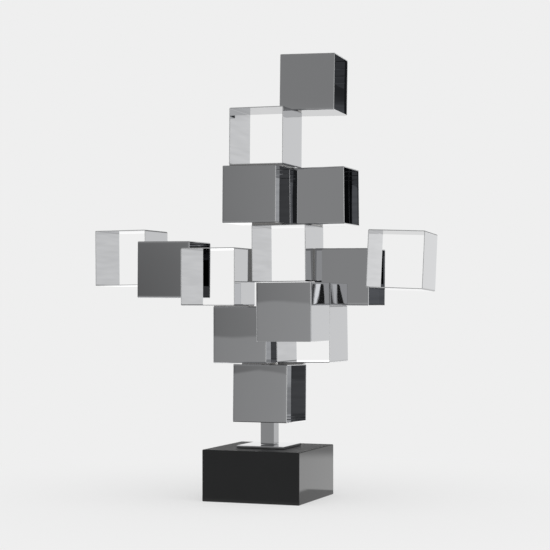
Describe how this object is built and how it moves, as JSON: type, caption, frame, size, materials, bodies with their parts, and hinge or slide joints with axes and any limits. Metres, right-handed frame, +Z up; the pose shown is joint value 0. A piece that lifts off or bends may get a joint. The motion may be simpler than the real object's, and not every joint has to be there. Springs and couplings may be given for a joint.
{
  "type": "abstract metal sculpture",
  "caption": "Free-standing table sculpture of short mirror-polished square tubes welded in a loose cross, on a square stem, a thin foot plate and a gloss black block.",
  "frame": {"origin": "middle of the base block's underside, at the surface that it stands on", "axes": "+X to the viewer's right along the base's front, +Y away from the viewer, +Z up"},
  "size_m": [0.4673, 0.1784, 0.5951],
  "materials": {
    "mirror_steel": "mirror polished",
    "black_lacquer": "gloss black lacquer"
  },
  "bodies": {
    "root": {"base": "black_lacquer", "foot_plate": "mirror_steel", "stem": "mirror_steel", "foot_tube": "mirror_steel", "lower_left_tube": "mirror_steel", "lower_right_tube": "mirror_steel", "front_upright_tube": "mirror_steel", "centre_tube": "mirror_steel", "left_arm_inner_tube": "mirror_steel", "left_arm_middle_tube": "mirror_steel", "left_arm_outer_tube": "mirror_steel", "right_arm_inner_tube": "mirror_steel", "right_arm_outer_tube": "mirror_steel", "upper_left_tube": "mirror_steel", "upper_right_tube": "mirror_steel", "neck_tube": "mirror_steel", "top_tube": "mirror_steel"}
  },
  "joints": []
}
